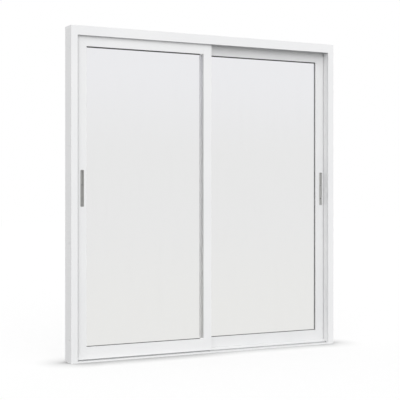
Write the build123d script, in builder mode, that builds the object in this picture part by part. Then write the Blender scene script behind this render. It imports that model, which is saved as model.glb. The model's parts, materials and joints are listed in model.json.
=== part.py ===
from build123d import *
import os

os.makedirs("parts", exist_ok=True)

# Two-leaf, two-track sliding glass door. X runs along the opening, -Y is the outside,
# Z is up, and the origin is the middle of the sill's underside. Sizes are in millimetres.

# Whole frame
overall_width = 2000.0
overall_height = 2150.0
frame_wall = 2.0

# Depths from the outside face inwards
front_lip = 15.0
leaf_thickness = 25.0
running_gap = 5.0
middle_lip = 8.0
back_lip = 17.0

# Frame members: hollow base, and how far the lips reach from the outer face
jamb_base = 22.0
jamb_reach = 45.0
head_base = 20.0
head_reach = 60.0
sill_base = 8.0
sill_front_reach = 10.0
sill_middle_reach = 27.0
sill_back_reach = 36.0
infill_wall = 1.5

# Leaves
leaf_edge_gap = 8.0
leaf_top_gap = 16.0
leaf_floor_gap = 9.5
lock_stile_width = 82.0
meeting_stile_width = 60.0
meeting_offset = -13.0
top_rail_width = 91.0
bottom_rail_width = 80.0
leaf_wall = 2.0
glazing_cheek = 7.5
glazing_channel = 12.0
roller_channel = 26.0

# Glass, and how far the gaskets show past each member of a leaf
glass_thickness = 6.0
glass_bite = 9.0
top_gasket_lip = 7.0
bottom_gasket_lip = 4.0
lock_gasket_lip = 5.0
meeting_gasket_lip = 1.5

# Interlocks on the meeting stiles
interlock_wall = 1.5
interlock_flange = 9.0
interlock_reach = 32.0
interlock_end_gap = 7.0

# Pulls and locks
pull_width = 25.0
pull_height = 236.0
pull_round = 7.0
pull_centre_height = 1113.0
pull_from_edge = 45.0
pull_shift = 6.5
pull_proud = 0.8
pull_border = 3.0
pull_cup_depth = 11.5
pull_cup_wall = 1.5
recess_share = 0.4
lock_cover_inset = 1.2
keyhole_radius = 4.0
keyhole_drop = 70.0
keyhole_depth = 3.0
snib_width = 9.0
snib_height = 34.0
snib_proud = 3.0
faceplate_width = 18.0
faceplate_height = 190.0
keeper_height = 150.0
keeper_thickness = 2.0
keeper_slot_width = 8.0
keeper_slot_height = 60.0
fitting_gap = 0.3

# Running gear
track_width = 4.0
track_foot_width = 14.0
track_foot_height = 1.5
track_height = 7.0
roller_tread = 10.0
roller_flange = 2.0
roller_width = 9.0
groove_width = 5.0
axle_radius = 3.0
roller_end_distance = 150.0
carriage_length = 64.0
carriage_height = 21.0
carriage_wall = 2.0
guide_length = 44.0
guide_height = 5.0
guide_side_gap = 0.5
guide_end_distance = 90.0

# Stops, seals and fixings
bumper_size = 22.0
bumper_chamfer = 2.0
bumper_gap = 0.5
bumper_heights = (320.0, 1820.0)
stop_length = 30.0
stop_drop = 32.0
hand_clearance = 15.5
anti_lift_length = 120.0
anti_lift_height = 5.0
brush_width = 5.0
brush_gap = 1.0
brush_setback = 6.0
fixing_radius = 3.5
fixing_end_distance = 145.0
fixing_count = 4

# Worked-out places
half_width = overall_width / 2
channel_width = leaf_thickness + 2 * running_gap
middle_start = front_lip + channel_width
back_channel = middle_start + middle_lip
back_start = back_channel + channel_width
frame_depth = back_start + back_lip
front_y = -frame_depth / 2
clear_half = half_width - jamb_base
leaf_edge = clear_half - leaf_edge_gap
leaf_bottom = sill_base + leaf_floor_gap
leaf_top = overall_height - head_base - leaf_top_gap
leaf_height = leaf_top - leaf_bottom
front_channel_middle = front_y + front_lip + channel_width / 2
rear_channel_middle = front_y + back_channel + channel_width / 2
pull_inner_edge = leaf_edge - pull_from_edge - pull_width / 2 - pull_shift
track_top = sill_base + track_height
head_bottom = overall_height - head_reach
fixing_pitch = (overall_height - 2 * fixing_end_distance) / (fixing_count - 1)

# Each leaf: which way its lock stile lies, its middle plane, and its free edge
leaves = {
    "front_leaf": {"side": -1, "y": front_channel_middle, "free": meeting_offset + meeting_stile_width / 2},
    "rear_leaf": {"side": 1, "y": rear_channel_middle, "free": meeting_offset - meeting_stile_width / 2},
}


def save(piece, name):
    piece.label = name
    export_step(piece, f"parts/{name}.step")


def frame_outline(base, front, middle, back):
    """Section of a two-track extrusion: a base with three lips, as seen from its end."""
    return [
        (0, 0),
        (front, 0),
        (front, front_lip),
        (base, front_lip),
        (base, middle_start),
        (middle, middle_start),
        (middle, back_channel),
        (base, back_channel),
        (base, back_start),
        (back, back_start),
        (back, frame_depth),
        (0, frame_depth),
    ]


def frame_chambers(base, front, middle, back):
    """Hollow chambers of that section: how high each stands, and where it starts and ends."""
    wall = frame_wall
    return [
        (front, wall, front_lip - wall),
        (base, front_lip, middle_start),
        (middle, middle_start + wall, back_channel - wall),
        (base, back_channel, back_start),
        (back, back_start + wall, frame_depth - wall),
    ]


def frame_section(base, front, middle, back):
    """The hollow section, drawn in the current sketch."""
    Polygon(*frame_outline(base, front, middle, back), align=None)
    for top, start, end in frame_chambers(base, front, middle, back):
        corners = [(frame_wall, start), (top - frame_wall, start), (top - frame_wall, end), (frame_wall, end)]
        Polygon(*corners, align=None, mode=Mode.SUBTRACT)


def make_jamb(name, side):
    start = (side * half_width, front_y, 0 if side < 0 else overall_height)
    plane = Plane(origin=start, x_dir=(-side, 0, 0), z_dir=(0, 0, -side))
    with BuildPart() as jamb:
        with BuildSketch(plane):
            frame_section(jamb_base, jamb_reach, jamb_reach, jamb_reach)
        extrude(amount=overall_height)
        # Fixing holes through the floor of the pocket that this side's leaf closes into
        pocket_y = front_channel_middle if side < 0 else rear_channel_middle
        hole_plane = Plane(origin=(side * half_width, pocket_y, 0), x_dir=(0, 1, 0), z_dir=(-side, 0, 0))
        with BuildSketch(hole_plane):
            for index in range(fixing_count):
                height = fixing_end_distance + index * fixing_pitch
                with Locations((0, hole_plane.y_dir.Z * height)):
                    Circle(fixing_radius)
        extrude(amount=jamb_base, mode=Mode.SUBTRACT)
    save(jamb.part, name)


def make_infills():
    """Channel covers that close the pocket no leaf enters: rear one at the left, front one at the right."""
    depth = jamb_reach - jamb_base
    width = channel_width - 2 * fitting_gap
    height = overall_height - head_base - sill_base
    with BuildPart() as infills:
        for side, middle_y in ((-1, rear_channel_middle), (1, front_channel_middle)):
            face = (side * (half_width - jamb_reach), middle_y, sill_base)
            with BuildSketch(Plane(origin=face, x_dir=(0, side, 0), z_dir=(0, 0, 1))):
                with Locations((0, -depth / 2)):
                    Rectangle(width, depth)
                with Locations((0, -depth / 2 - infill_wall / 2)):
                    Rectangle(width - 2 * infill_wall, depth - infill_wall, mode=Mode.SUBTRACT)
            extrude(amount=height)
            # Notch over the end of the running rail
            with Locations((side * (half_width - jamb_reach + depth / 2), middle_y, sill_base)):
                Box(depth, track_foot_width + 2 * fitting_gap, 2 * (track_height + fitting_gap), mode=Mode.SUBTRACT)
    save(infills.part, "pocket_infills")


def cope_ends(height, centre_z):
    """Cuts the ends of a cross member back to the lips of the jambs."""
    depths = ((0, front_lip), (middle_start, back_channel), (back_start, frame_depth))
    lip = jamb_reach - jamb_base
    for side in (-1, 1):
        for start, end in depths:
            middle = (side * (clear_half - lip / 2), front_y + (start + end) / 2, centre_z)
            with Locations(middle):
                Box(lip, end - start, height, mode=Mode.SUBTRACT)


def make_head():
    plane = Plane(origin=(-clear_half, front_y, overall_height), x_dir=(0, 0, -1), z_dir=(1, 0, 0))
    with BuildPart() as head:
        with BuildSketch(plane):
            frame_section(head_base, head_reach, head_reach, head_reach)
        extrude(amount=2 * clear_half)
        cope_ends(2 * head_reach, overall_height)
    save(head.part, "head")


def make_sill():
    plane = Plane(origin=(clear_half, front_y, 0), x_dir=(0, 0, 1), z_dir=(-1, 0, 0))
    with BuildPart() as sill:
        with BuildSketch(plane):
            frame_section(sill_base, sill_front_reach, sill_middle_reach, sill_back_reach)
        extrude(amount=2 * clear_half)
        cope_ends(2 * sill_back_reach, 0)
    save(sill.part, "sill")


def make_track(name, middle_y):
    """Running rail: a foot on the sill and a narrow web that carries the rollers."""
    foot = track_foot_width / 2
    web = track_width / 2
    with BuildPart() as track:
        with BuildSketch(Plane(origin=(-clear_half, middle_y, sill_base), x_dir=(0, 1, 0), z_dir=(1, 0, 0))):
            Polygon(
                (-foot, 0),
                (foot, 0),
                (foot, track_foot_height),
                (web, track_foot_height),
                (web, track_height),
                (-web, track_height),
                (-web, track_foot_height),
                (-foot, track_foot_height),
                align=None,
            )
        extrude(amount=2 * clear_half)
        edges = track.edges().filter_by(Axis.X).group_by(Axis.Z)[-1]
        fillet(edges, track_width / 4)
    save(track.part, name)


def make_brushes():
    """Brush seals on both sides of the pocket that each leaf closes into, and along the head."""
    depth = running_gap - brush_gap
    front_walls = ((front_lip, 1), (middle_start, -1))
    rear_walls = ((back_channel, 1), (back_start, -1))
    lowest = sill_back_reach + running_gap
    height = head_bottom - lowest
    for side, walls, name in ((-1, front_walls, "left_jamb_brushes"), (1, rear_walls, "right_jamb_brushes")):
        with BuildPart() as brushes:
            for wall, way in walls:
                x = side * (half_width - jamb_reach + brush_setback + brush_width / 2)
                with Locations((x, front_y + wall + way * depth / 2, lowest + height / 2)):
                    Box(brush_width, depth, height)
        save(brushes.part, name)
    length = 2 * (half_width - jamb_reach)
    with BuildPart() as brushes:
        for wall, way in front_walls + rear_walls:
            z = head_bottom + brush_setback + brush_width / 2
            with Locations((0, front_y + wall + way * depth / 2, z)):
                Box(length, depth, brush_width)
    save(brushes.part, "head_brushes")


def make_stops():
    """Bumpers that each closing leaf meets, and blocks that stop it when open."""
    thickness = leaf_edge_gap - bumper_gap
    with BuildPart() as bumpers:
        for leaf in leaves.values():
            for height in bumper_heights:
                with Locations((leaf["side"] * (clear_half - thickness / 2), leaf["y"], height)):
                    Box(thickness, bumper_size, bumper_size)
        faces = bumpers.faces().filter_by(Axis.X).group_by(lambda face: round(abs(face.center().X)))[0]
        chamfer(faces.edges(), bumper_chamfer)
    save(bumpers.part, "closing_bumpers")
    with BuildPart() as stops:
        for name, leaf in leaves.items():
            x = -leaf["side"] * (pull_inner_edge - hand_clearance + bumper_gap + stop_length / 2)
            with Locations((x, leaf["y"], overall_height - head_base - stop_drop / 2)):
                Box(stop_length, bumper_size, stop_drop)
        chamfer(stops.edges().filter_by(Axis.X).group_by(Axis.Z)[0], bumper_chamfer)
    save(stops.part, "open_stops")
    with BuildPart() as blocks:
        for leaf in leaves.values():
            x = leaf["side"] * half_width / 2
            with Locations((x, leaf["y"], overall_height - head_base - anti_lift_height / 2)):
                Box(anti_lift_length, bumper_size, anti_lift_height)
    save(blocks.part, "anti_lift_blocks")
    with BuildPart() as keepers:
        for leaf in leaves.values():
            x = leaf["side"] * (clear_half - keeper_thickness / 2)
            with Locations((x, leaf["y"], pull_centre_height)):
                Box(keeper_thickness, bumper_size, keeper_height)
                Box(keeper_thickness, keeper_slot_width, keeper_slot_height, mode=Mode.SUBTRACT)
    save(keepers.part, "lock_keepers")


def stile_plane(x, inward, y):
    """Local x runs inwards from the stile's outer edge, local y to the back."""
    start = leaf_bottom if inward > 0 else leaf_top
    return Plane(origin=(x, y - leaf_thickness / 2, start), x_dir=(inward, 0, 0), z_dir=(0, 0, inward))


def leaf_section(width, open_channel=0.0):
    """Hollow section of a stile or rail with a glazing channel along its inner edge."""
    bed = width - glazing_channel
    far_cheek = leaf_thickness - glazing_cheek
    wall = leaf_wall
    far_wall = leaf_thickness - wall
    Rectangle(width, leaf_thickness, align=Align.MIN)
    with Locations((bed, glazing_cheek)):
        Rectangle(glazing_channel, far_cheek - glazing_cheek, align=Align.MIN, mode=Mode.SUBTRACT)
    chamber = open_channel + wall
    with Locations((chamber, wall)):
        Rectangle(bed - wall - chamber, far_wall - wall, align=Align.MIN, mode=Mode.SUBTRACT)
    if open_channel:
        with Locations((0, wall)):
            Rectangle(open_channel, far_wall - wall, align=Align.MIN, mode=Mode.SUBTRACT)


def mitre_plane(leaf, corner):
    """Cutting plane through a lock-side corner of the leaf; its normal points to the rail."""
    rail = top_rail_width if corner == "top" else bottom_rail_width
    height = leaf_top if corner == "top" else leaf_bottom
    way = 1 if corner == "top" else -1
    inward = -leaf["side"]
    normal = (inward * rail, 0, way * lock_stile_width)
    return Plane(origin=(leaf["side"] * leaf_edge, leaf["y"], height), z_dir=normal)


def flip(plane):
    return Plane(origin=plane.origin, x_dir=plane.x_dir, z_dir=-plane.z_dir)


def pull_face(leaf, outside):
    """Plane on the face of the lock stile, its normal out of the leaf and its local y up."""
    # The pulls aren't handed, so on both leaves they stand off the lock's line the same way
    x = leaf["side"] * (leaf_edge - pull_from_edge) + pull_shift
    if outside:
        origin = (x, leaf["y"] - leaf_thickness / 2, pull_centre_height)
        return Plane(origin=origin, x_dir=(1, 0, 0), z_dir=(0, -1, 0))
    origin = (x, leaf["y"] + leaf_thickness / 2, pull_centre_height)
    return Plane(origin=origin, x_dir=(-1, 0, 0), z_dir=(0, 1, 0))


def make_lock_stile(name, leaf):
    cup_width = pull_width - 2 * pull_border + 2 * fitting_gap
    cup_height = pull_height - 2 * pull_border + 2 * fitting_gap
    edge_x = leaf["side"] * leaf_edge
    with BuildPart() as stile:
        with BuildSketch(stile_plane(edge_x, -leaf["side"], leaf["y"])):
            leaf_section(lock_stile_width)
        extrude(amount=leaf_height)
        split(bisect_by=flip(mitre_plane(leaf, "top")))
        split(bisect_by=flip(mitre_plane(leaf, "bottom")))
        for outside in (True, False):
            with BuildSketch(pull_face(leaf, outside)):
                RectangleRounded(cup_width, cup_height, pull_round - pull_border)
            extrude(amount=-leaf_wall, mode=Mode.SUBTRACT)
        edge_middle = (edge_x - leaf["side"] * leaf_wall / 2, leaf["y"], pull_centre_height)
        with Locations(edge_middle):
            Box(
                leaf_wall,
                faceplate_width + 2 * fitting_gap,
                faceplate_height + 2 * fitting_gap,
                mode=Mode.SUBTRACT,
            )
    save(stile.part, f"{name}_lock_stile")


def make_meeting_stile(name, leaf):
    with BuildPart() as stile:
        with BuildSketch(stile_plane(leaf["free"], leaf["side"], leaf["y"])):
            leaf_section(meeting_stile_width)
        extrude(amount=leaf_height)
    save(stile.part, f"{name}_meeting_stile")


def make_rails(name, leaf):
    lock_x = leaf["side"] * leaf_edge
    inner_x = leaf["free"] + leaf["side"] * meeting_stile_width
    start, end = min(lock_x, inner_x), max(lock_x, inner_x)
    front = leaf["y"] - leaf_thickness / 2
    with BuildPart() as top_rail:
        with BuildSketch(Plane(origin=(start, front, leaf_top), x_dir=(0, 0, -1), z_dir=(1, 0, 0))):
            leaf_section(top_rail_width)
        extrude(amount=end - start)
        split(bisect_by=mitre_plane(leaf, "top"))
    save(top_rail.part, f"{name}_top_rail")
    with BuildPart() as bottom_rail:
        with BuildSketch(Plane(origin=(end, front, leaf_bottom), x_dir=(0, 0, 1), z_dir=(-1, 0, 0))):
            leaf_section(bottom_rail_width, roller_channel)
        extrude(amount=end - start)
        split(bisect_by=mitre_plane(leaf, "bottom"))
    save(bottom_rail.part, f"{name}_bottom_rail")


def daylight(leaf):
    """Lock side, meeting side, bottom and top of the opening that the stiles and rails leave."""
    lock_x = leaf["side"] * (leaf_edge - lock_stile_width)
    free_x = leaf["free"] + leaf["side"] * meeting_stile_width
    return lock_x, free_x, leaf_bottom + bottom_rail_width, leaf_top - top_rail_width


def make_glazing(name, leaf):
    lock_x, free_x, bottom, top = daylight(leaf)
    outward = leaf["side"]
    corners = [(lock_x + outward * glass_bite, bottom - glass_bite), (free_x - outward * glass_bite, top + glass_bite)]
    lips = [
        (lock_x - outward * lock_gasket_lip, bottom + bottom_gasket_lip),
        (free_x + outward * meeting_gasket_lip, top - top_gasket_lip),
    ]

    def sheet(ends, mode=Mode.ADD):
        (x1, z1), (x2, z2) = ends
        Polygon((x1, z1), (x2, z1), (x2, z2), (x1, z2), align=None, mode=mode)

    back_plane = Plane.XZ.offset(-leaf["y"] - glass_thickness / 2)
    with BuildPart() as glass:
        with BuildSketch(back_plane):
            sheet(corners)
        extrude(amount=glass_thickness)
    save(glass.part, f"{name}_glass")
    depth = leaf_thickness / 2 - glazing_cheek - glass_thickness / 2
    for label, start in (("outer_gasket", glass_thickness), ("inner_gasket", -depth)):
        with BuildPart() as gasket:
            with BuildSketch(back_plane.offset(start)):
                sheet(corners)
                sheet(lips, Mode.SUBTRACT)
            extrude(amount=depth)
        save(gasket.part, f"{name}_{label}")


def make_interlock(name, leaf):
    """Hooked strip on the meeting stile; the two leaves' hooks lie one behind the other."""
    way = 1 if leaf["side"] < 0 else -1
    face = leaf["y"] + way * leaf_thickness / 2
    depth = channel_width - leaf_thickness - running_gap + middle_lip
    wall = interlock_wall
    lowest = sill_middle_reach + interlock_end_gap
    points = [
        (1, 0),
        (1 + interlock_flange, 0),
        (1 + interlock_flange, depth - wall),
        (1 + interlock_flange + interlock_reach, depth - wall),
        (1 + interlock_flange + interlock_reach, depth),
        (1 + interlock_flange - wall, depth),
        (1 + interlock_flange - wall, wall),
        (1, wall),
    ]
    placed = [(leaf["free"] + leaf["side"] * u, face + way * v) for u, v in points]
    with BuildPart() as interlock:
        with BuildSketch(Plane.XY.offset(lowest)):
            Polygon(*placed, align=None)
        extrude(amount=head_bottom - interlock_end_gap - lowest)
    save(interlock.part, f"{name}_interlock")


def make_pull(name, leaf, outside):
    """Flush pull: a thin bezel on the stile, a cup let into it and a lock cover over its lower part."""
    face = pull_face(leaf, outside)
    cup_width = pull_width - 2 * pull_border
    cup_height = pull_height - 2 * pull_border
    corner = pull_round - pull_border
    hollow_width = cup_width - 2 * pull_cup_wall
    hollow_height = cup_height - 2 * pull_cup_wall
    with BuildPart() as pull:
        with BuildSketch(face):
            RectangleRounded(pull_width, pull_height, pull_round)
        extrude(amount=pull_proud)
        with BuildSketch(face):
            RectangleRounded(cup_width, cup_height, corner)
        extrude(amount=-pull_cup_depth)
        with BuildSketch(face.offset(pull_proud)):
            RectangleRounded(hollow_width, hollow_height, corner - pull_cup_wall)
        extrude(amount=pull_cup_wall - pull_cup_depth - pull_proud, mode=Mode.SUBTRACT)
    where = "outer" if outside else "inner"
    save(pull.part, f"{name}_{where}_pull")
    cover_height = hollow_height * (1 - recess_share) - fitting_gap
    cover_middle = -hollow_height / 2 + fitting_gap + cover_height / 2 - fitting_gap / 2
    floor = face.offset(pull_cup_wall - pull_cup_depth)
    with BuildPart() as cover:
        with BuildSketch(floor):
            with Locations((0, cover_middle)):
                Rectangle(hollow_width - 2 * fitting_gap, cover_height - fitting_gap)
        extrude(amount=pull_cup_depth - pull_cup_wall - lock_cover_inset)
        fillet(cover.edges().filter_by(Axis.Y).group_by(Axis.Z)[0], corner - pull_cup_wall)
        top = face.offset(-lock_cover_inset)
        with BuildSketch(top):
            with Locations((0, -keyhole_drop)):
                Circle(keyhole_radius)
        if outside:
            extrude(amount=-keyhole_depth, mode=Mode.SUBTRACT)
        else:
            extrude(amount=-keyhole_depth, mode=Mode.SUBTRACT)
            with BuildSketch(top):
                with Locations((0, cover_middle)):
                    RectangleRounded(snib_width, snib_height, snib_width / 3)
            extrude(amount=snib_proud)
    save(cover.part, f"{name}_{where}_lock_cover")


def make_faceplate(name, leaf):
    x = leaf["side"] * (leaf_edge - leaf_wall / 2)
    with BuildPart() as plate:
        with Locations((x, leaf["y"], pull_centre_height)):
            Box(leaf_wall, faceplate_width, faceplate_height)
            Box(leaf_wall, keeper_slot_width, keeper_slot_height, mode=Mode.SUBTRACT)
    save(plate.part, f"{name}_faceplate")


def roller_places(leaf):
    """X of each roller: one near the lock side, one near the meeting stile."""
    lock_x = leaf["side"] * (leaf_edge - roller_end_distance)
    free_x = leaf["free"] + leaf["side"] * roller_end_distance
    return (lock_x, free_x)


def make_running_gear(name, leaf):
    axle_z = track_top + fitting_gap + roller_tread
    rim = roller_tread + roller_flange
    inner = leaf_thickness - 2 * leaf_wall - 2 * fitting_gap
    gap = roller_width + 2 * fitting_gap
    channel_top = leaf_bottom + roller_channel
    carriage_z = channel_top - carriage_height / 2
    with BuildPart() as rollers:
        for x in roller_places(leaf):
            wheel = Plane(origin=(x, leaf["y"], axle_z), x_dir=(1, 0, 0), z_dir=(0, 1, 0))
            with BuildSketch(wheel.offset(-roller_width / 2)):
                Circle(rim)
                Circle(axle_radius + fitting_gap, mode=Mode.SUBTRACT)
            extrude(amount=roller_width)
            with BuildSketch(wheel.offset(-groove_width / 2)):
                Circle(rim)
                Circle(roller_tread, mode=Mode.SUBTRACT)
            extrude(amount=groove_width, mode=Mode.SUBTRACT)
    save(rollers.part, f"{name}_rollers")
    with BuildPart() as carriages:
        for x in roller_places(leaf):
            with Locations((x, leaf["y"], carriage_z)):
                Box(carriage_length, inner, carriage_height)
            with Locations((x, leaf["y"], carriage_z - carriage_wall)):
                Box(carriage_length, gap, carriage_height, mode=Mode.SUBTRACT)
            with BuildSketch(Plane(origin=(x, leaf["y"] - inner / 2, axle_z), z_dir=(0, 1, 0))):
                Circle(axle_radius)
            extrude(amount=inner)
    save(carriages.part, f"{name}_roller_carriages")


def make_guides(name, leaf):
    lock_x = leaf["side"] * (leaf_edge - guide_end_distance)
    free_x = leaf["free"] + leaf["side"] * guide_end_distance
    with BuildPart() as guides:
        for x in (lock_x, free_x):
            with Locations((x, leaf["y"], leaf_top + guide_height / 2)):
                Box(guide_length, channel_width - 2 * guide_side_gap, guide_height)
        fillet(guides.edges().filter_by(Axis.Z), guide_height / 2)
    save(guides.part, f"{name}_top_guides")


make_jamb("left_jamb", -1)
make_jamb("right_jamb", 1)
make_infills()
make_head()
make_sill()
make_track("front_track", front_channel_middle)
make_track("rear_track", rear_channel_middle)
make_brushes()
make_stops()
for leaf_name, leaf_values in leaves.items():
    make_lock_stile(leaf_name, leaf_values)
    make_meeting_stile(leaf_name, leaf_values)
    make_rails(leaf_name, leaf_values)
    make_glazing(leaf_name, leaf_values)
    make_interlock(leaf_name, leaf_values)
    make_pull(leaf_name, leaf_values, True)
    make_pull(leaf_name, leaf_values, False)
    make_faceplate(leaf_name, leaf_values)
    make_running_gear(leaf_name, leaf_values)
    make_guides(leaf_name, leaf_values)
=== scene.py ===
import bmesh
import bpy
import json
import math
import random
from mathutils import Matrix, Vector


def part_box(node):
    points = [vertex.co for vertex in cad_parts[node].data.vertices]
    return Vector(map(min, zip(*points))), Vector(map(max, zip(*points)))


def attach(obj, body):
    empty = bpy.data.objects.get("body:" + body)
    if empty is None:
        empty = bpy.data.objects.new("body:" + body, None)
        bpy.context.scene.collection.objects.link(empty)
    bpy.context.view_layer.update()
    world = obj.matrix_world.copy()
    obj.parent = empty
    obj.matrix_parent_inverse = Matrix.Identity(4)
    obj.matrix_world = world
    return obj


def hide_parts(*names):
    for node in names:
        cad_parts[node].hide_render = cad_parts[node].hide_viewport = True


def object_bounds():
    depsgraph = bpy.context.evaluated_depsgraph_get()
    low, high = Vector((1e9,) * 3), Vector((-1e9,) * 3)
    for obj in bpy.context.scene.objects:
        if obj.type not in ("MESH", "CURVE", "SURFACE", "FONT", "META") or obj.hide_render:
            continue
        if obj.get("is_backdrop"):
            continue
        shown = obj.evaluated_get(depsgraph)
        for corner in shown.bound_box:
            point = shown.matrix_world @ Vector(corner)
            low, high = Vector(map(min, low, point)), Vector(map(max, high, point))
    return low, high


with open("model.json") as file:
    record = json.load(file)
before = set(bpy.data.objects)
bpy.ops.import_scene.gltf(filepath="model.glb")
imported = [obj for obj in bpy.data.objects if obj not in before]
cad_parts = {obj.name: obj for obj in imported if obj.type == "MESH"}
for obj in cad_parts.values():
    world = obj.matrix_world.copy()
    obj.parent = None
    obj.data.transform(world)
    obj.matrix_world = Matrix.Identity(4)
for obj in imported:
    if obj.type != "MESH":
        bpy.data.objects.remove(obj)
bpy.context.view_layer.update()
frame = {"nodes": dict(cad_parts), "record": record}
nodes = frame["nodes"]
mm = 0.001
print("frame loaded with", len(nodes), "nodes")


class Pin:
    # one socket of a material; sums and products written on it become Math nodes
    def __init__(self, tree, socket=None):
        self.tree = tree
        self.socket = socket

    def put(self, kind, settings, sockets, out=0):
        node = self.tree.nodes.new(kind)
        for key, value in settings.items():
            setattr(node, key, value)
        for key, value in sockets.items():
            if isinstance(value, Pin):
                self.tree.links.new(value.socket, node.inputs[key])
            else:
                node.inputs[key].default_value = value
        return Pin(self.tree, node.outputs[out] if node.outputs else None)

    def math(self, operation, first, second):
        return self.put("ShaderNodeMath", {"operation": operation}, {0: first, 1: second})

    def __add__(self, other):
        return self.math("ADD", self, other)

    def __radd__(self, other):
        return self.math("ADD", other, self)

    def __sub__(self, other):
        return self.math("SUBTRACT", self, other)

    def __rsub__(self, other):
        return self.math("SUBTRACT", other, self)

    def __mul__(self, other):
        return self.math("MULTIPLY", self, other)

    def __rmul__(self, other):
        return self.math("MULTIPLY", other, self)


cloudRoughness = 0.55      # how strong the finer clouds are in each noise


def newMaterial(name):
    material = bpy.data.materials.new(name)
    material.use_nodes = True
    material.node_tree.nodes.clear()
    return material, Pin(material.node_tree)


def coordinates(pin):
    return pin.put("ShaderNodeTexCoord", {}, {}, out="Object")


def stretch(where, factors):
    return where.put("ShaderNodeVectorMath", {"operation": "MULTIPLY"}, {0: where, 1: factors})


def axisOf(where, axis):
    return where.put("ShaderNodeSeparateXYZ", {}, {0: where}, out=axis)


def cloud(where, scale, detail):
    sockets = {"Vector": where, "Scale": scale, "Detail": detail, "Roughness": cloudRoughness}
    return where.put("ShaderNodeTexNoise", {}, sockets)


def rise(value, low, high):
    # 0 below low and 1 above high, with a soft start and end
    return value.put("ShaderNodeMapRange", {"interpolation_type": "SMOOTHSTEP"}, {0: value, 1: low, 2: high})


def tint(factor, first, second):
    return factor.put("ShaderNodeMix", {"data_type": "RGBA"}, {0: factor, 6: first, 7: second}, out=2)


def shade(factor, colour, filterColour):
    # the colour multiplied by the filter where the factor is 1
    settings = {"data_type": "RGBA", "blend_type": "MULTIPLY"}
    return factor.put("ShaderNodeMix", settings, {0: factor, 6: colour, 7: filterColour}, out=2)


def bump(height, depth, strength):
    return height.put("ShaderNodeBump", {}, {"Strength": strength, "Distance": depth, "Height": height})


def facing(pin):
    normal = pin.put("ShaderNodeNewGeometry", {}, {}, out="Normal")
    return axisOf(normal, "Z")


def closeMaterial(material, pin, sockets):
    shader = pin.put("ShaderNodeBsdfPrincipled", {}, sockets)
    pin.put("ShaderNodeOutputMaterial", {}, {"Surface": shader})
    return material


# White powder coat on aluminium extrusions: a faint orange peel, and die lines along each length
coat = {
    # one pair of tones for each coat, with a slow drift from one to the other along a length
    "frame": {"colour": (0.865, 0.868, 0.872, 1), "drift": (0.84, 0.845, 0.852, 1)},
    # the rear leaf's coat is the frame's paint darkened: painted shade for the leaf that stands back under the
    # head
    "rear": {"colour": (0.81, 0.813, 0.817, 1), "drift": (0.785, 0.79, 0.797, 1)},
    # the frame's paint lightened: painted light
    "paintedLight": {"colour": (0.93, 0.932, 0.936, 1), "drift": (0.91, 0.913, 0.92, 1)},
    # painted light that lifts the shade these pieces stand in
    "paintedLightNodes": ("rear_leaf_meeting_stile", "rear_leaf_interlock", "front_leaf_interlock", "pocket_infills"),
    "roughness": 0.42,
    "specular": 0.45,
    "driftPerMetre": 2.3,
    "driftStretch": (1.0, 3.0, 1.0),
    "driftFrom": 0.3,
    "driftTo": 0.75,
    "driftGloss": 0.06,
    "dust": (0.70, 0.69, 0.67, 1),    # settles on faces that look up
    "dustPerMetre": 55.0,
    "dustFrom": 0.42,
    "dustTo": 0.75,
    "dustSlope": 0.75,                # upward part of a face's normal at which dust starts to hold
    "dustCover": 0.35,
    "dustGloss": 0.2,
    "peelPerMetre": 620,
    "peelDepth": 0.02 * mm,
    "peelShare": 0.8,
    "linesPerMetre": 260,
    "lineStretch": 0.01,              # along the length, where 1 is across it
    "lineShare": 0.35,
    "lineGloss": 0.07,
    "bump": 0.35,
}


def makeCoat(name, along, batch):
    tones = coat[batch]
    material, pin = newMaterial(name)
    where = coordinates(pin)
    lengthwise = tuple(coat["lineStretch"] if axis == along else 1.0 for axis in "XYZ")
    lines = cloud(stretch(where, lengthwise), coat["linesPerMetre"], detail=2.0)
    peel = cloud(where, coat["peelPerMetre"], detail=1.0)
    slow = cloud(stretch(where, coat["driftStretch"]), coat["driftPerMetre"], detail=2.0)
    patches = rise(cloud(where, coat["dustPerMetre"], detail=5.0), coat["dustFrom"], coat["dustTo"])
    dusty = rise(facing(pin), coat["dustSlope"], 1.0) * patches
    drift = rise(slow, coat["driftFrom"], coat["driftTo"])
    colour = tint(drift, tones["colour"], tones["drift"])
    colour = tint(dusty * coat["dustCover"], colour, coat["dust"])
    roughness = coat["roughness"] + (lines - 0.5) * coat["lineGloss"] + (slow - 0.5) * coat["driftGloss"]
    roughness = roughness + dusty * coat["dustGloss"]
    height = peel * coat["peelShare"] + lines * coat["lineShare"]
    return closeMaterial(material, pin, {
        "Base Color": colour,
        "Roughness": roughness,
        "Specular IOR Level": coat["specular"],
        "Normal": bump(height, coat["peelDepth"], coat["bump"]),
    })


# Clear toughened glass, faintly wavy from its furnace rollers; its tone, cool at the top and warm at the foot,
# is a painted reflection of sky above and ground below
pane = {
    # painted reflection: the pane's tones at its top, middle and foot
    "top": (0.958, 0.960, 0.982, 1),
    "middle": (0.926, 0.927, 0.926, 1),
    "foot": (0.934, 0.933, 0.918, 1),
    "reflectionHeights": (0.25, 1.0, 1.25, 1.95),    # metres where the tones start and end
    "index": 1.46,
    "wiped": (0.992, 0.992, 0.992, 1),     # where a cloth left its broad upright strokes
    "wipesPerMetre": 5.0,
    "wipeStretch": (3.0, 1.0, 0.7),
    "wipeFrom": 0.45,
    "wipeTo": 0.8,
    "wipeHaze": 0.004,
    "wavesPerMetre": 3.2,
    "waveStretch": (1.0, 1.0, 2.4),
    "waveDepth": 0.05 * mm,
    "bump": 0.2,
}


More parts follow.
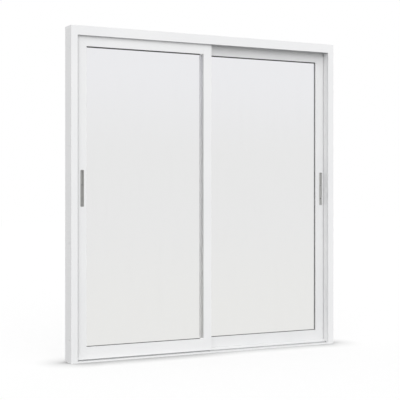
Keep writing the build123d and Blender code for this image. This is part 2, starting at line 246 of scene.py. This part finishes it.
def makePane(name):
    material, pin = newMaterial(name)
    where = coordinates(pin)
    wave = cloud(stretch(where, pane["waveStretch"]), pane["wavesPerMetre"], detail=1.0)
    strokes = cloud(stretch(where, pane["wipeStretch"]), pane["wipesPerMetre"], detail=4.0)
    wiped = rise(strokes, pane["wipeFrom"], pane["wipeTo"])
    height = axisOf(where, "Z")
    low, lowEnd, highStart, high = pane["reflectionHeights"]
    # painted reflection: the tone changes with height, cool above and warm below
    tone = tint(rise(height, low, lowEnd), pane["foot"], pane["middle"])
    tone = tint(rise(height, highStart, high), tone, pane["top"])
    return closeMaterial(material, pin, {
        "Base Color": shade(wiped, tone, pane["wiped"]),
        "Roughness": wiped * pane["wipeHaze"],
        "IOR": pane["index"],
        "Transmission Weight": 1.0,
        "Normal": bump(wave, pane["waveDepth"], pane["bump"]),
    })


# Dark rubber: glazing gaskets, the dark strip that stands for the left jamb's shadow line, and the bumpers in
# the jambs
rubber = {
    "gasket": {"colour": (0.115, 0.117, 0.117, 1), "bloom": (0.19, 0.19, 0.188, 1), "roughness": 0.66},
    "bumper": {"colour": (0.014, 0.014, 0.015, 1), "bloom": (0.05, 0.05, 0.052, 1), "roughness": 0.7},
    "pale": (0.84, 0.84, 0.83, 1),         # painted light: a pale length beside the front leaf's meeting stile, lifting the shade there
    "liftedShadeFrom": -75 * mm,
    "liftedShadeTo": -60 * mm,
    "bloomPerMetre": 70.0,
    "bloomFrom": 0.45,
    "bloomTo": 0.8,
    "bloomCover": 0.7,
    "grainPerMetre": 1400.0,
    "grainGloss": 0.16,
    "grainDepth": 0.04 * mm,
    "specular": 0.35,
    "bump": 0.5,
}


def makeRubber(name, sort, liftedShadeEdge=False):
    values = rubber[sort]
    material, pin = newMaterial(name)
    where = coordinates(pin)
    bloom = rise(cloud(where, rubber["bloomPerMetre"], detail=5.0), rubber["bloomFrom"], rubber["bloomTo"])
    grain = cloud(where, rubber["grainPerMetre"], detail=2.0)
    colour = tint(bloom * rubber["bloomCover"], values["colour"], values["bloom"])
    # painted light: a pale length by the meeting stile lifts the shade there
    if liftedShadeEdge:
        worn = rise(axisOf(where, "X"), rubber["liftedShadeFrom"], rubber["liftedShadeTo"])
        colour = tint(worn, colour, rubber["pale"])
    return closeMaterial(material, pin, {
        "Base Color": colour,
        "Roughness": values["roughness"] + (grain - 0.5) * rubber["grainGloss"],
        "Specular IOR Level": rubber["specular"],
        "Normal": bump(grain, rubber["grainDepth"], rubber["bump"]),
    })


# Metals: grain runs along one axis, and handled or run-on parts are brighter
metals = {
    # the four pull tones are painted light and shade: each cup is lighter than its cover to lift the shade in
    # its recess, and the front leaf's are darker than the rear leaf's as painted shade
    "frontCup": {"colour": (0.372, 0.372, 0.364, 1), "worn": (0.43, 0.43, 0.42, 1),
                 "metal": 0.35, "roughness": 0.46, "grain": "Z"},
    "frontCover": {"colour": (0.268, 0.268, 0.263, 1), "worn": (0.31, 0.31, 0.303, 1),
                   "metal": 0.35, "roughness": 0.44, "grain": "Z"},
    "rearCup": {"colour": (0.52, 0.52, 0.51, 1), "worn": (0.595, 0.595, 0.58, 1),
                "metal": 0.35, "roughness": 0.46, "grain": "Z"},
    "rearCover": {"colour": (0.393, 0.393, 0.388, 1), "worn": (0.455, 0.455, 0.445, 1),
                  "metal": 0.35, "roughness": 0.44, "grain": "Z"},
    "barrel": {"colour": (0.035, 0.035, 0.035, 1), "worn": (0.06, 0.06, 0.058, 1),
               "metal": 0.0, "roughness": 0.65, "grain": "Z"},
    "track": {"colour": (0.56, 0.565, 0.57, 1), "worn": (0.80, 0.80, 0.80, 1),
              "metal": 1.0, "roughness": 0.32, "grain": "X"},
    "zinc": {"colour": (0.46, 0.47, 0.485, 1), "worn": (0.64, 0.65, 0.66, 1),
             "metal": 1.0, "roughness": 0.38, "grain": "Z"},
    "nickel": {"colour": (0.62, 0.60, 0.56, 1), "worn": (0.78, 0.76, 0.72, 1),
               "metal": 1.0, "roughness": 0.24, "grain": "Z"},
}
# The brush strokes and worn patches that all metals share
strokesOf = {
    "perMetre": 1900.0,
    "stretch": 0.03,       # along the grain, where 1 is across it
    "tone": 0.3,
    "gloss": 0.22,
    "depth": 0.012 * mm,
    "bump": 0.6,
    "wornPerMetre": 38.0,
    "wornFrom": 0.45,
    "wornTo": 0.75,
    "wornCover": 0.45,
    "wornGloss": 0.05,
}


def makeMetal(name, sort):
    values = metals[sort]
    material, pin = newMaterial(name)
    where = coordinates(pin)
    lengthwise = tuple(strokesOf["stretch"] if axis == values["grain"] else 1.0 for axis in "XYZ")
    strokes = cloud(stretch(where, lengthwise), strokesOf["perMetre"], detail=3.0)
    patches = cloud(where, strokesOf["wornPerMetre"], detail=4.0)
    worn = rise(patches, strokesOf["wornFrom"], strokesOf["wornTo"])
    mix = worn * strokesOf["wornCover"] + (strokes - 0.5) * strokesOf["tone"]
    gloss = (strokes - 0.5) * strokesOf["gloss"]
    return closeMaterial(material, pin, {
        "Base Color": tint(mix, values["colour"], values["worn"]),
        "Metallic": values["metal"],
        "Roughness": values["roughness"] + gloss - worn * strokesOf["wornGloss"],
        "Normal": bump(strokes, strokesOf["depth"], strokesOf["bump"]),
    })


# Moulded nylon: guides, the carriages' wheels and the blocks
nylon = {
    "colour": (0.56, 0.56, 0.54, 1),
    "scuffed": (0.40, 0.40, 0.39, 1),
    "roughness": 0.48,
    "scuffsPerMetre": 420.0,
    "scuffStretch": (0.25, 1.0, 1.0),
    "scuffFrom": 0.5,
    "scuffTo": 0.78,
    "scuffCover": 0.6,
    "scuffGloss": 0.12,
    "scuffDepth": 0.03 * mm,
    "bump": 0.4,
    "glow": 0.05,                                # how much light it lets in
    "glowReach": (0.8 * mm, 0.8 * mm, 0.7 * mm),
}


def makeNylon(name):
    material, pin = newMaterial(name)
    where = coordinates(pin)
    marks = cloud(stretch(where, nylon["scuffStretch"]), nylon["scuffsPerMetre"], detail=4.0)
    scuffs = rise(marks, nylon["scuffFrom"], nylon["scuffTo"])
    return closeMaterial(material, pin, {
        "Base Color": tint(scuffs * nylon["scuffCover"], nylon["colour"], nylon["scuffed"]),
        "Roughness": nylon["roughness"] + scuffs * nylon["scuffGloss"],
        "Subsurface Weight": nylon["glow"],
        "Subsurface Radius": nylon["glowReach"],
        "Normal": bump(scuffs, nylon["scuffDepth"], nylon["bump"]),
    })


# Pile of the brush seals
pile = {
    "colour": (0.33, 0.335, 0.34, 1),
    "tips": (0.50, 0.505, 0.51, 1),
    "tuftsPerMetre": 900.0,
    "tipsFrom": 0.3,
    "tipsTo": 0.7,
    "roughness": 0.85,
    "gloss": 0.1,
    "specular": 0.15,
    "depth": 0.1 * mm,
    "bump": 0.5,
}


def makePile(name):
    material, pin = newMaterial(name)
    tufts = cloud(coordinates(pin), pile["tuftsPerMetre"], detail=3.0)
    return closeMaterial(material, pin, {
        "Base Color": tint(rise(tufts, pile["tipsFrom"], pile["tipsTo"]), pile["colour"], pile["tips"]),
        "Roughness": pile["roughness"] + (tufts - 0.5) * pile["gloss"],
        "Specular IOR Level": pile["specular"],
        "Normal": bump(tufts, pile["depth"], pile["bump"]),
    })


coats = {}
for batch in ("frame", "rear", "paintedLight"):
    coats[batch, "Z"] = makeCoat(batch + "CoatUpright", "Z", batch)
    coats[batch, "X"] = makeCoat(batch + "CoatAcross", "X", batch)
finishes = {
    "pane": makePane("clearPane"),
    "gasket": makeRubber("gasketRubber", "gasket"),
    "pull_metal": makeMetal("satinPlate", "frontCover"),
    "track_metal": makeMetal("railMetal", "track"),
    "zinc_fitting": makeMetal("zincPlate", "zinc"),
    "nylon": makeNylon("mouldedNylon"),
    "bumper_rubber": makeRubber("bumperRubber", "bumper"),
    "brush_pile": makePile("brushPile"),
}
# the front leaf's gaskets carry the pale length of painted light by the meeting stile
frontGasket = makeRubber("frontGasketRubber", "gasket", liftedShadeEdge=True)
nickel = makeMetal("nickelScrew", "nickel")
darkBarrel = makeMetal("darkBarrel", "barrel")
# The front leaf's pulls are darker than the rear leaf's, and each cup lighter than its cover: painted shade and
# painted light
pullFinishes = {}
for side in ("front", "rear"):
    pullFinishes[side, "pull"] = makeMetal(side + "PullCup", side + "Cup")
    pullFinishes[side, "cover"] = makeMetal(side + "LockCover", side + "Cover")
print("finishes made")

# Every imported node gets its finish, and rigid ones a small rounding of their edges
edges = {
    "widthOf": {
        "white_profile": 0.7 * mm,
        "track_metal": 0.3 * mm,
        "zinc_fitting": 0.3 * mm,
        "nylon": 0.5 * mm,
        "bumper_rubber": 0.8 * mm,
        "pull_metal": 0.3 * mm,
    },
    "angle": math.radians(35),      # edges where the surface turns more than this are rounded
    "segments": 2,
    "weld": 0.01 * mm,
    "flat": math.radians(0.5),      # faces that turn less than this are one flat face
}


def coatOf(name):
    low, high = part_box(name)
    # the rear leaf takes the darkened coat as painted shade, and pieces in shade take the lightened coat as
    # painted light
    batch = "rear" if name.startswith("rear_leaf") else "frame"
    if name in coat["paintedLightNodes"]:
        batch = "paintedLight"
    along = "Z" if high.z - low.z > high.x - low.x else "X"
    return coats[batch, along]


def finishOf(name, slot):
    if slot == "white_profile":
        return coatOf(name)
    words = name.split("_")
    return pullFinishes.get((words[0], words[-1]), finishes[slot])


def roundEdges(piece, width):
    mesh = piece.data
    if "custom_normal" in mesh.attributes:
        mesh.attributes.remove(mesh.attributes["custom_normal"])
    mesh.polygons.foreach_set("use_smooth", [True] * len(mesh.polygons))
    weld = piece.modifiers.new("weld", "WELD")
    weld.merge_threshold = edges["weld"]
    flat = piece.modifiers.new("flat", "DECIMATE")
    flat.decimate_type = "DISSOLVE"
    flat.angle_limit = edges["flat"]
    bevel = piece.modifiers.new("rounding", "BEVEL")
    bevel.width = width
    bevel.segments = edges["segments"]
    bevel.limit_method = "ANGLE"
    bevel.angle_limit = edges["angle"]
    bevel.harden_normals = True


for part in frame["record"]["subparts"]:
    name, slot = part["node"], part["material_slot"]
    mesh = nodes[name].data
    mesh.materials.clear()
    mesh.materials.append(finishOf(name, slot))
    if slot in edges["widthOf"]:
        roundEdges(nodes[name], edges["widthOf"][slot])
print("nodes dressed")


def finishPiece(name, mesh, material, body):
    # a bmesh becomes an object that rides on a body
    data = bpy.data.meshes.new(name)
    bmesh.ops.recalc_face_normals(mesh, faces=mesh.faces)
    mesh.to_mesh(data)
    mesh.free()
    data.materials.append(material)
    piece = bpy.data.objects.new(name, data)
    bpy.context.scene.collection.objects.link(piece)
    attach(piece, body)
    return piece


def addBlock(mesh, low, high):
    size, middle = high - low, (low + high) / 2
    for vert in bmesh.ops.create_cube(mesh, size=1.0)["verts"]:
        vert.co = Vector(vert.co[axis] * size[axis] + middle[axis] for axis in range(3))


def solidBoxes(name):
    # lowest and highest corner of each separate solid of a node
    sameSpot = 0.001 * mm
    mesh = bmesh.new()
    mesh.from_mesh(nodes[name].data)
    bmesh.ops.remove_doubles(mesh, verts=mesh.verts, dist=sameSpot)
    waiting = set(mesh.verts)
    boxes = []
    while waiting:
        queue = [waiting.pop()]
        places = []
        while queue:
            vert = queue.pop()
            places.append(vert.co.copy())
            joined = {edge.other_vert(vert) for edge in vert.link_edges} & waiting
            waiting -= joined
            queue.extend(joined)
        corners = [Vector(pick(spot[axis] for spot in places) for axis in range(3)) for pick in (min, max)]
        boxes.append(corners)
    mesh.free()
    return sorted(boxes, key=lambda box: tuple(box[0]))


# Brush seals: a backing tape on the frame's wall, and rows of pile that reach towards the leaf
brush = {
    "nodes": ("left_jamb_brushes", "right_jamb_brushes", "head_brushes"),
    "pitch": 2.1 * mm,     # from tuft to tuft along the strip
    "rows": 3,
    "tape": 0.9 * mm,      # how thick it is
    "rooted": 0.1 * mm,    # how deep a tuft stands in it
    "foot": 1.7 * mm,
    "lean": 0.45 * mm,
    "shorter": 0.8 * mm,   # how far a tuft may fall short of the strip's edge
    "seed": 41,
}


def addTuft(mesh, foot, tip, size, turn):
    # a three-sided spike
    corners = []
    for corner in range(3):
        angle = turn + corner * math.tau / 3
        corners.append(mesh.verts.new(foot + Vector((math.cos(angle), 0, math.sin(angle))) * size / 2))
    corners.append(mesh.verts.new(tip))
    for first, second, third in ((0, 1, 2), (0, 1, 3), (1, 2, 3), (2, 0, 3)):
        mesh.faces.new((corners[first], corners[second], corners[third]))


def addStrip(mesh, low, high, toward, draw):
    # the strip's wall side is where "toward", +1 or -1 along Y, points away from
    wall, tip = (low.y, high.y) if toward > 0 else (high.y, low.y)
    face = wall + toward * brush["tape"]
    addBlock(mesh, Vector((low.x, min(wall, face), low.z)), Vector((high.x, max(wall, face), high.z)))
    along, across = (2, 0) if high.z - low.z > high.x - low.x else (0, 2)
    length, width = high[along] - low[along], high[across] - low[across]
    free, spread = length - brush["foot"], width - brush["foot"]
    count = int(free / brush["pitch"])
    for step in range(count):
        for row in range(brush["rows"]):
            foot = Vector((0, face - toward * brush["rooted"], 0))
            foot[along] = low[along] + brush["foot"] / 2 + (step + 0.5) * free / count
            foot[across] = low[across] + brush["foot"] / 2 + row * spread / (brush["rows"] - 1)
            end = foot.copy()
            end.y = tip - toward * draw.random() * brush["shorter"]
            end[along] += (draw.random() - 0.5) * 2 * brush["lean"]
            addTuft(mesh, foot, end, brush["foot"], draw.random() * math.tau)


draw = random.Random(brush["seed"])
for name in brush["nodes"]:
    mesh = bmesh.new()
    boxes = sorted(solidBoxes(name), key=lambda box: box[0].y)
    for index, (low, high) in enumerate(boxes):
        addStrip(mesh, low, high, 1 if index % 2 == 0 else -1, draw)
    strips = finishPiece(name + "_pile", mesh, finishes["brush_pile"], "frame")
    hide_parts(name)
print("brush seals made")

# Glazing gaskets: a wedge section that runs round each pane on both sides, mitred at the corners
gasket = {
    # each corner as a share of the width and a share of the depth
    "section": [(0, 0), (0, 1), (0.8, 1), (0.94, 0.75), (1, 0.4), (1, 0)],
    "bite": 9 * mm,           # how much of the width is hidden in the rebate
    # what shows of it beside each rail and stile
    "lips": {"lock": 1.2 * mm, "meeting": 0.3 * mm, "bottom": 4 * mm, "top": 7 * mm},
    "offGlass": 0.05 * mm,
}


def gasketRing(low, high, lockLeft, glassSide, outSide):
    lips = gasket["lips"]
    left, right = (lips["lock"], lips["meeting"]) if lockLeft else (lips["meeting"], lips["lock"])
    widths = [gasket["bite"] + lip for lip in (left, right, lips["bottom"], lips["top"])]
    mesh = bmesh.new()
    loops = []
    for share, depth in gasket["section"]:
        x0, x1 = low.x + share * widths[0], high.x - share * widths[1]
        z0, z1 = low.z + share * widths[2], high.z - share * widths[3]
        y = glassSide + depth * (outSide - glassSide)
        corners = ((x0, y, z0), (x1, y, z0), (x1, y, z1), (x0, y, z1))
        loops.append([mesh.verts.new(corner) for corner in corners])
    for first, second in zip(loops, loops[1:] + loops[:1]):
        for index in range(4):
            after = (index + 1) % 4
            mesh.faces.new((first[index], first[after], second[after], second[index]))
    return mesh


for leaf in ("front_leaf", "rear_leaf"):
    for where in ("outer", "inner"):
        name = f"{leaf}_{where}_gasket"
        low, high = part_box(name)
        glassSide, outSide = (high.y, low.y) if where == "outer" else (low.y, high.y)
        glassSide += gasket["offGlass"] * (-1 if where == "outer" else 1)
        mesh = gasketRing(low, high, leaf == "front_leaf", glassSide, outSide)
        rubberOf = frontGasket if leaf == "front_leaf" else finishes["gasket"]
        ring = finishPiece(name + "_wedge", mesh, rubberOf, leaf)
        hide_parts(name)
print("gaskets made")

# A dark rubber strip along the left jamb's front edge, beside the closed front leaf: a dark thing set in place
# of the shadow line of the gap there
shadowLineSeal = {
    "thick": 1.9 * mm,
    "section": [(0, 0), (0.7, 0), (1, 0.5), (1, 2.5), (0.5, 3.4)],   # corners, in times its thickness
    "edge": 45 * mm,                    # from the jamb's outside to the edge that it is set on
    "depths": (1.2 * mm, 13.5 * mm),    # where it starts and ends behind the jamb's face
    "ends": (37 * mm, 61 * mm),         # left free at the foot and at the top
}


def makeShadowLineSeal():
    low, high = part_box("left_jamb")
    edge = low.x + shadowLineSeal["edge"]
    start, end = (low.y + depth for depth in shadowLineSeal["depths"])
    thick = shadowLineSeal["thick"]
    outline = [(edge + thick * x, start + thick * y) for x, y in shadowLineSeal["section"]]
    outline.append((edge, end))
    mesh = bmesh.new()
    rings = []
    for z in (low.z + shadowLineSeal["ends"][0], high.z - shadowLineSeal["ends"][1]):
        rings.append([mesh.verts.new((x, y, z)) for x, y in outline])
    mesh.faces.new(rings[0])
    mesh.faces.new(rings[1])
    for index in range(len(outline)):
        after = (index + 1) % len(outline)
        mesh.faces.new((rings[0][index], rings[0][after], rings[1][after], rings[1][index]))
    finishPiece("left_jamb_shadow_line_seal", mesh, finishes["gasket"], "frame")


makeShadowLineSeal()
print("lip seal made")

# Screws with a cross recess, and key barrels: both are turned shapes with a cut in the end
turned = {
    "sides": 28,
    # radius and height of each ring, in millimetres
    "screw": [(3.6, -0.4), (3.6, 0.15), (3.35, 0.42), (2.6, 0.62), (1.4, 0.72)],
    "barrel": [(3.7, -2.9), (3.7, -0.35), (3.45, -0.12), (3.05, -0.12), (2.85, -0.4)],
    # width, length and depth of each cut, in millimetres
    "screwCuts": [(0.95, 4.0, 1.3), (4.0, 0.95, 1.3)],
    "barrelCuts": [(0.9, 4.6, 1.9), (2.0, 1.5, 1.9)],
    "cutStep": 0.05,       # keeps the bottoms of two crossing cuts apart
    "firstTurn": 0.4,      # radians that the first screw's recess is turned
    "nextTurn": 1.3,       # and how much further each next one
}


def turnedShape(profile, cuts):
    solid = bmesh.new()
    rings = []
    for radius, height in profile:
        ring = []
        for index in range(turned["sides"]):
            angle = index * math.tau / turned["sides"]
            corner = Vector((radius * math.cos(angle), radius * math.sin(angle), height))
            ring.append(solid.verts.new(corner * mm))
        rings.append(ring)
    for lower, upper in zip(rings, rings[1:]):
        for index in range(turned["sides"]):
            after = (index + 1) % turned["sides"]
            solid.faces.new((lower[index], lower[after], upper[after], upper[index]))
    solid.faces.new(rings[0])
    solid.faces.new(rings[-1])
    top = profile[-1][1] * mm
    cutter = bmesh.new()
    for index, (width, length, depth) in enumerate(cuts):
        size = Vector((width, length, depth * 2 - index * turned["cutStep"])) * mm / 2
        middle = Vector((0, 0, top))
        addBlock(cutter, middle - size, middle + size)
    return carved(solid, cutter)


def carved(solid, cutter):
    # the solid less the cutter, as a mesh
    pieces = []
    for mesh in (solid, cutter):
        bmesh.ops.recalc_face_normals(mesh, faces=mesh.faces)
        data = bpy.data.meshes.new("carving")
        mesh.to_mesh(data)
        mesh.free()
        pieces.append(bpy.data.objects.new("carving", data))
        bpy.context.scene.collection.objects.link(pieces[-1])
    cut = pieces[0].modifiers.new("cut", "BOOLEAN")
    cut.operation = "DIFFERENCE"
    cut.solver = "EXACT"
    cut.use_self = True
    cut.object = pieces[1]
    evaluated = pieces[0].evaluated_get(bpy.context.evaluated_depsgraph_get())
    result = bpy.data.meshes.new_from_object(evaluated)
    for piece in pieces:
        bpy.data.objects.remove(piece)
    return result


def copies(shape, places):
    # one bmesh with the shape at each place, its Z turned to the direction given there
    mesh = bmesh.new()
    for spot, direction, turn in places:
        spin = Matrix.Rotation(turn, 4, "Z")
        tilt = direction.to_track_quat("Z", "Y").to_matrix().to_4x4()
        copy = shape.copy()
        copy.transform(Matrix.Translation(spot) @ tilt @ spin)
        mesh.from_mesh(copy)
        bpy.data.meshes.remove(copy)
    return mesh


def middleOf(low, high):
    return (low + high) / 2


screwShape = turnedShape(turned["screw"], turned["screwCuts"])
barrelShape = turnedShape(turned["barrel"], turned["barrelCuts"])
spacing = {
    # from the middle of each fitting to its screws
    "faceplate": 81 * mm,
    "keeper": 63 * mm,
    "block": 42 * mm,
    # from the middle of a pull down to its keyhole
    "keyholeDrop": 70 * mm,
}


def screwPlaces(low, high, direction, offsets):
    # on the side of a box that the direction points to
    centre = middleOf(low, high)
    axis = max(range(3), key=lambda index: abs(direction[index]))
    centre[axis] = high[axis] if direction[axis] > 0 else low[axis]
    places = []
    for index, offset in enumerate(offsets):
        places.append((centre + offset, direction, turned["firstTurn"] + turned["nextTurn"] * index))
    return places


up, right, down = Vector((0, 0, 1)), Vector((1, 0, 0)), Vector((0, 0, -1))
for leaf, side in (("front_leaf", -1), ("rear_leaf", 1)):
    low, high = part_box(leaf + "_faceplate")
    offsets = [up * spacing["faceplate"], -up * spacing["faceplate"]]
    mesh = copies(screwShape, screwPlaces(low, high, right * side, offsets))
    finishPiece(leaf + "_faceplate_screws", mesh, nickel, leaf)
frameScrews = []
for low, high in solidBoxes("lock_keepers"):
    inward = -right if low.x > 0 else right
    frameScrews += screwPlaces(low, high, inward, [up * spacing["keeper"], -up * spacing["keeper"]])
for low, high in solidBoxes("open_stops"):
    frameScrews += screwPlaces(low, high, down, [Vector()])
for low, high in solidBoxes("anti_lift_blocks"):
    frameScrews += screwPlaces(low, high, down, [right * spacing["block"], -right * spacing["block"]])
finishPiece("frame_screws", copies(screwShape, frameScrews), nickel, "frame")
print("screws made")

# Each lock cover: its leaf, its side, the way that side looks along Y, and how far its snib stands out
snib = 3 * mm
lockCovers = []
for leaf in ("front_leaf", "rear_leaf"):
    lockCovers += [(leaf, "outer", -1, 0), (leaf, "inner", 1, snib)]

for leaf, where, direction, standsOut in lockCovers:
    low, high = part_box(f"{leaf}_{where}_lock_cover")
    pullLow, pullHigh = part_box(f"{leaf}_{where}_pull")
    centre = middleOf(low, high)
    centre.y = low.y if direction < 0 else high.y - standsOut
    centre.z = middleOf(pullLow, pullHigh).z - spacing["keyholeDrop"]
    mesh = copies(barrelShape, [(centre, Vector((0, direction, 0)), 0.0)])
    seen = darkBarrel if leaf == "rear_leaf" else pullFinishes["front", "cover"]
    finishPiece(f"{leaf}_{where}_key_barrel", mesh, seen, leaf)
print("key barrels made")

# The seam between the finger recess and the lock cover is a thin dark shim on the cover's upper end: a dark
# piece set in place of the shadow line under the recess
shim = {"height": 1.8 * mm, "inset": 0.2 * mm, "depth": 5 * mm, "chamfer": 0.25 * mm, "segments": 2}
for leaf, where, direction, standsOut in lockCovers:
    low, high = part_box(f"{leaf}_{where}_lock_cover")
    face = low.y if direction < 0 else high.y - standsOut
    near, far = sorted((face + direction * shim["inset"], face - direction * shim["depth"]))
    mesh = bmesh.new()
    addBlock(mesh, Vector((low.x, near, high.z)), Vector((high.x, far, high.z + shim["height"])))
    bmesh.ops.bevel(mesh, geom=mesh.edges[:], offset=shim["chamfer"], segments=shim["segments"], affect="EDGES")
    finishPiece(f"{leaf}_{where}_recess_shadow_shim", mesh, darkBarrel, leaf)
print("recess shims made")

# Camera: level, to the left of the door and at about its middle height
view = {
    "place": (-3.3634, -6.3957, 1.0842),
    "forward": (0.4597, 0.8881, 0.0),
    "sensor": 36,
    "lens": 95.45,
    "shift": -0.01795,
    "farthest": 200,
}
camera = bpy.data.objects.new("camera", bpy.data.cameras.new("camera"))
bpy.context.scene.collection.objects.link(camera)
camera.location = view["place"]
camera.rotation_euler = Vector(view["forward"]).to_track_quat("-Z", "Y").to_euler()
camera.data.sensor_width = view["sensor"]
camera.data.lens = view["lens"]
camera.data.shift_y = view["shift"]
camera.data.clip_end = view["farthest"]
bpy.context.scene.camera = camera
print("camera set")

# Studio: an even sky, one wide far lamp high on the left of the front, and a floor that keeps the shadow, with
# a painted contact shadow at the door's foot
studio = {
    "sky": 0.895,
    "behindGlass": 0.86,     # the background as it shows through the panes
    "lampAzimuth": 16,       # degrees from straight in front, towards the left
    "lampHeight": 30,        # degrees above the floor
    "lampSpread": 60,        # degrees across
    "lampStrength": 1.33,
    "floorColour": (0.92, 0.92, 0.92, 1),
    "floorBounce": (0.32, 0.32, 0.32, 1),   # what the floor throws back at the door
    "floorWhite": 0.8,                      # share of the seen floor that is plain white
    "contactShadow": 0.22,                        # metres that the painted contact shadow at the door's foot reaches
    "contactShadowDepth": 1.45,
    "contactSamples": 16,
    "floorSize": 60,
}


def rayOf(pin, kind):
    return pin.put("ShaderNodeLightPath", {}, {}, out=kind)


def mirrored(pin):
    # 1 for rays that show the background in a gloss or through glass
    glossy = rayOf(pin, "Is Glossy Ray")
    return glossy.math("MAXIMUM", glossy, rayOf(pin, "Is Transmission Ray"))


def seenRay(pin):
    direct = rayOf(pin, "Is Camera Ray")
    return direct.math("MAXIMUM", direct, mirrored(pin))


def shownLevel(pin):
    # 1 for the bare background, and a little less where a pane stands before it
    return 1 - rayOf(pin, "Is Transmission Ray") * (1 - studio["behindGlass"])


def makeWorld():
    world = bpy.data.worlds.new("studio")
    world.use_nodes = True
    world.node_tree.nodes.clear()
    pin = Pin(world.node_tree)
    seen = seenRay(pin)
    strength = seen * shownLevel(pin) + (1 - seen) * studio["sky"]
    sky = pin.put("ShaderNodeBackground", {}, {"Color": (1, 1, 1, 1), "Strength": strength})
    pin.put("ShaderNodeOutputWorld", {}, {"Surface": sky})
    bpy.context.scene.world = world


def makeFloor():
    half = studio["floorSize"] / 2
    mesh = bpy.data.meshes.new("floor")
    corners = [(-half, -half, 0), (half, -half, 0), (half, half, 0), (-half, half, 0)]
    mesh.from_pydata(corners, [], [(0, 1, 2, 3)])
    floor = bpy.data.objects.new("floor", mesh)
    bpy.context.scene.collection.objects.link(floor)
    material, pin = newMaterial("paleFloor")
    colour = tint(rayOf(pin, "Is Camera Ray"), studio["floorBounce"], studio["floorColour"])
    matt = pin.put("ShaderNodeBsdfDiffuse", {}, {"Color": colour})
    settings = {"samples": studio["contactSamples"]}
    # painted shadow: the floor's glow darkens where the door hides nearby directions
    openness = pin.put("ShaderNodeAmbientOcclusion", settings, {"Distance": studio["contactShadow"]}, out="AO")
    contactShadow = tint(1 - (1 - openness) * studio["contactShadowDepth"], (0, 0, 0, 1), (1, 1, 1, 1))
    pale = pin.put("ShaderNodeEmission", {}, {"Color": contactShadow, "Strength": 1.0})
    share = rayOf(pin, "Is Camera Ray") * studio["floorWhite"]
    lit = pin.put("ShaderNodeMixShader", {}, {0: share, 1: matt, 2: pale})
    white = pin.put("ShaderNodeEmission", {}, {"Strength": shownLevel(pin)})
    shown = pin.put("ShaderNodeMixShader", {}, {0: mirrored(pin), 1: lit, 2: white})
    pin.put("ShaderNodeOutputMaterial", {}, {"Surface": shown})
    mesh.materials.append(material)
    floor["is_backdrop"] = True


def makeLamp():
    lamp = bpy.data.objects.new("farLamp", bpy.data.lights.new("farLamp", "SUN"))
    bpy.context.scene.collection.objects.link(lamp)
    height, azimuth = math.radians(studio["lampHeight"]), math.radians(studio["lampAzimuth"])
    level = math.cos(height)
    away = Vector((math.sin(azimuth) * level, math.cos(azimuth) * level, -math.sin(height)))
    lamp.rotation_euler = away.to_track_quat("-Z", "Y").to_euler()
    lamp.data.angle = math.radians(studio["lampSpread"])
    lamp.data.energy = studio["lampStrength"]


makeWorld()
makeFloor()
makeLamp()
bpy.context.scene.view_settings.view_transform = "Standard"
print("studio made")

low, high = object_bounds()
